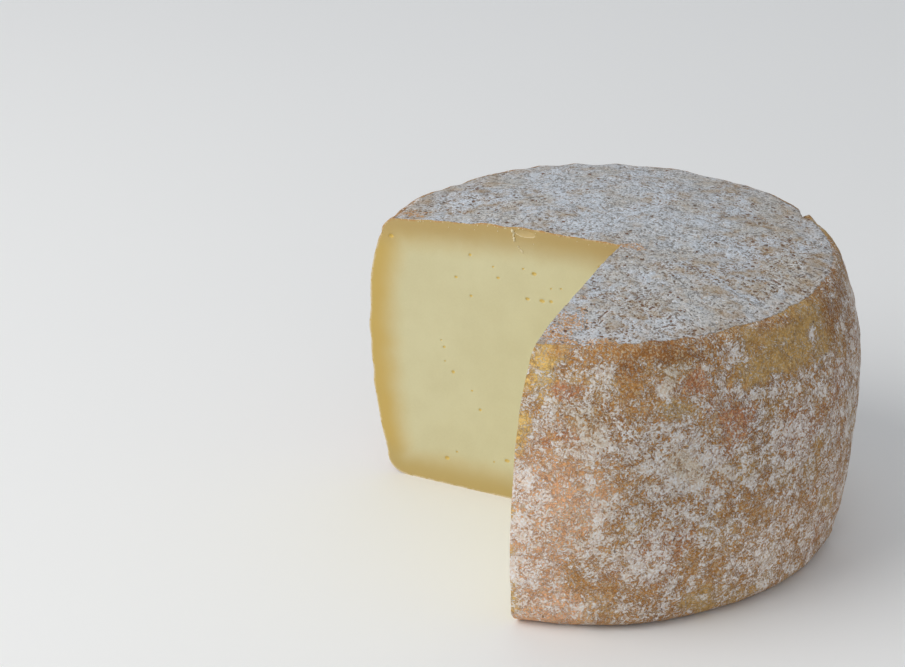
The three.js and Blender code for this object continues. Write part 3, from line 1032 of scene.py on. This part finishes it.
def paste_material():
    """The paste, by its depth under the rind, with its eyes and the scar, whose lower lip has a painted
    highlight.
    """
    n = Shader("ivory_paste")
    depth, eye, scar = n.attribute("depth"), n.attribute("eye"), n.attribute("scar")
    cloud = n.noise(16.0, 5.0, 0.6)
    grain = n.noise(0.9, 4.0, 0.65)
    high = n.split(n.place, "Z")
    near_top = n.step(high, 97.0, 111.0)

    heart = n.mix(n.step(cloud, 0.3, 0.7), HEART_DARK, HEART_LIGHT)
    heart = n.over(heart, HEART_GRAIN, n.step(grain, 0.3, 0.7), 0.2)
    zone = n.mix(near_top, ZONE, TOP_ZONE)
    zone = n.mix(n.step(high, 18.0, 5.0), zone, FOOT_ZONE)
    under = n.math("ADD", depth, n.about_half(n.noise(14.0, 3.0), 5.0))
    tone = n.mix(n.step(under, 16.5, 2.5), heart, zone)

    fleck = n.step(n.noise(1.2, 2.0, 0.5), 0.52, 0.6)
    line = n.mix(near_top, EDGE, n.mix(fleck, TOP_EDGE_BROWN, TOP_EDGE_PALE))
    edge = n.step(n.math("ADD", depth, n.about_half(grain, 1.2)), 1.0, 0.2)
    edge = n.times(edge, n.step(n.noise(4.0, 4.0, 0.7), 0.36, 0.52))
    tone = n.over(tone, line, edge, 0.85)
    tone = n.over(tone, EYE_GOLD, n.step(eye, 0.0, 0.6), 0.8)

    tone = n.over(tone, SCAR_FACE, n.step(scar, 0.0, 0.3), 0.6)
    # A painted highlight on the scar's lower lip
    lip = n.times(n.step(scar, 0.0, 0.08), n.step(scar, 0.55, 0.25))
    lip = n.times(lip, n.step(high, SCAR[1] + 0.2, SCAR[1] - 0.7))
    tone = n.over(tone, SCAR_LIP_HIGHLIGHT, n.times(lip, n.step(grain, 0.32, 0.5)), 0.75)
    rough = n.times_plus(grain, 0.2, 0.5)
    height = n.times_plus(grain, 0.12, n.times(cloud, 0.8))
    return n.finish(tone, rough=rough, shine=0.35, height=height, reach=0.5, strength=0.5)


def crumb_material():
    n = Shader("paste_crumb")
    grain = n.noise(0.4, 3.0, 0.6)
    tone = n.mix(grain, CRUMB_DARK, CRUMB_LIGHT)
    return n.finish(tone, rough=0.6, shine=0.35, height=grain, reach=0.1, strength=0.5)


def floor_material():
    n = Shader("pale_floor")
    n.put(n.surface, {"Base Color": n.mix(n.noise(400.0, 2.0), FLOOR_DARK, FLOOR_LIGHT), "Roughness": 0.9})
    return n.material


def shown(name, mesh, *materials):
    piece = bpy.data.objects.new(name, mesh)
    bpy.context.scene.collection.objects.link(piece)
    for material in materials:
        mesh.materials.append(material)
    return piece


def place_camera():
    lens = bpy.data.cameras.new("camera")
    lens.lens = CAMERA_LENS
    lens.sensor_width = SENSOR
    lens.clip_start, lens.clip_end = CAMERA_CLIP
    camera = bpy.data.objects.new("camera", lens)
    turn = Matrix.Rotation(math.radians(CAMERA_HEADING), 4, "Z")
    tilt = Matrix.Rotation(math.radians(90 - CAMERA_PITCH), 4, "X")
    roll = Matrix.Rotation(math.radians(CAMERA_ROLL), 4, "Z")
    camera.matrix_world = Matrix.Translation(CAMERA_PLACE) @ turn @ tilt @ roll
    bpy.context.scene.collection.objects.link(camera)
    bpy.context.scene.camera = camera


def soft_light(name, toward, distance, size, power, tint):
    """A round area light that faces the wheel from a direction."""
    data = bpy.data.lights.new(name, "AREA")
    data.shape = "DISK"
    data.size = size
    data.energy = power
    data.color = tint
    lamp = bpy.data.objects.new(name, data)
    way = Vector(toward).normalized()
    lamp.location = way * distance + Vector(LIT_POINT)
    lamp.rotation_euler = way.to_track_quat("Z", "Y").to_euler()
    bpy.context.scene.collection.objects.link(lamp)


def light_scene():
    world = bpy.data.worlds.new("studio")
    bpy.context.scene.world = world
    world.use_nodes = True
    background = world.node_tree.nodes["Background"]
    background.inputs["Color"].default_value = ROOM_COLOR
    background.inputs["Strength"].default_value = ROOM_STRENGTH
    for light in LIGHTS:
        soft_light(*light)


def lay_floor():
    reach = FLOOR_REACH
    corners = [(-reach, -reach, 0), (reach, -reach, 0), (reach, reach, 0), (-reach, reach, 0)]
    mesh = bpy.data.meshes.new("floor")
    mesh.from_pydata(corners, [], [(0, 1, 2, 3)])
    floor = shown("floor", mesh, floor_material())


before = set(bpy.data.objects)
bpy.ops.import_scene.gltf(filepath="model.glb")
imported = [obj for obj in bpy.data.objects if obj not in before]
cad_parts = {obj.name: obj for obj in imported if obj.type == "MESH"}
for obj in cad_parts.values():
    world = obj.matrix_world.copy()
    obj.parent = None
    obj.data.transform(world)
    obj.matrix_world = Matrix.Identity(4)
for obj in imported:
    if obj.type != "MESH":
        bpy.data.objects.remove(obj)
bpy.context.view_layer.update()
bpy.context.scene.view_settings.view_transform = "Standard"
place_camera()
light_scene()
lay_floor()

wheel = shown("pecorino", build_wheel(), rind_material(), paste_material())
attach(wheel, "root")
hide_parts("pecorino_wheel")

crumbs = shown("paste_crumbs", build_crumbs(), crumb_material())
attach(crumbs, "root")
